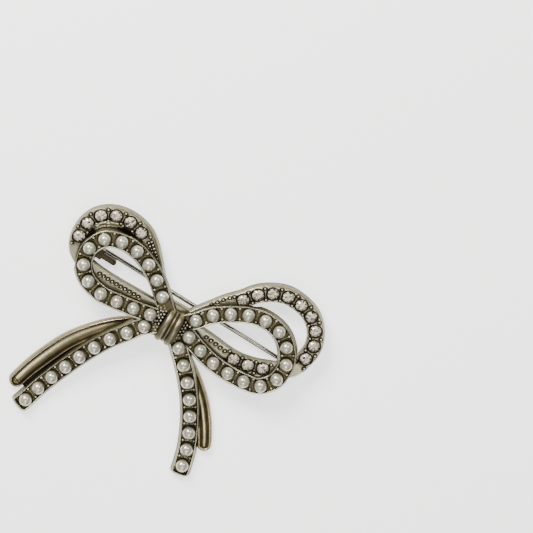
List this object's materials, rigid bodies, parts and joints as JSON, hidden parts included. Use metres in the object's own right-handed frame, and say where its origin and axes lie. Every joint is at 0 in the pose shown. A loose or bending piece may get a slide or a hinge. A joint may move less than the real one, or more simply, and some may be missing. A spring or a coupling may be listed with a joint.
{
  "type": "bow brooch",
  "caption": "Double ribbon bow brooch in antique silver, set with flat-back pearls and faceted crystals, with a hinged pin stem and an open hook catch.",
  "frame": {"origin": "on the surface that the brooch lies on, under the middle of the bow's bounding box", "axes": "+X across the bow towards its right loop as seen from the front, +Y up the bow from the tails to the loops, +Z out of the face"},
  "size_m": [0.062, 0.056, 0.008],
  "materials": {
    "upper_casting": "antique silver plate, polished on the rims and darkened in the recesses",
    "lower_casting": "antique silver plate, darkened in the recesses",
    "pearl": "cream pearl lustre",
    "crystal": "clear foiled crystal",
    "findings": "darkened metal",
    "pin_wire": "drawn steel wire"
  },
  "bodies": {
    "bow": {"pearl_bow": "upper_casting", "crystal_bow": "lower_casting", "left_loop_pearls": "pearl", "right_loop_pearls": "pearl", "left_tail_pearls": "pearl", "right_tail_pearls": "pearl", "left_crystal_1": "crystal", "left_crystal_2": "crystal", "left_crystal_3": "crystal", "left_crystal_4": "crystal", "left_crystal_5": "crystal", "left_crystal_6": "crystal", "right_crystal_1": "crystal", "right_crystal_2": "crystal", "right_crystal_3": "crystal", "right_crystal_4": "crystal", "right_crystal_5": "crystal", "right_crystal_6": "crystal", "right_crystal_7": "crystal", "right_crystal_8": "crystal", "right_crystal_9": "crystal", "lower_crystal_1": "crystal", "lower_crystal_2": "crystal", "lower_crystal_3": "crystal", "hinge": "findings", "catch": "findings"},
    "pin": {"pin_stem": "pin_wire"}
  },
  "joints": [
    {"name": "pin_hinge", "type": "hinge", "parent": "bow", "child": "pin", "pos_m": [0.02704, 0.01181, 0.00125], "axis": [-0.0366, -0.9993, 0], "range_deg": [0, 75]}
  ]
}
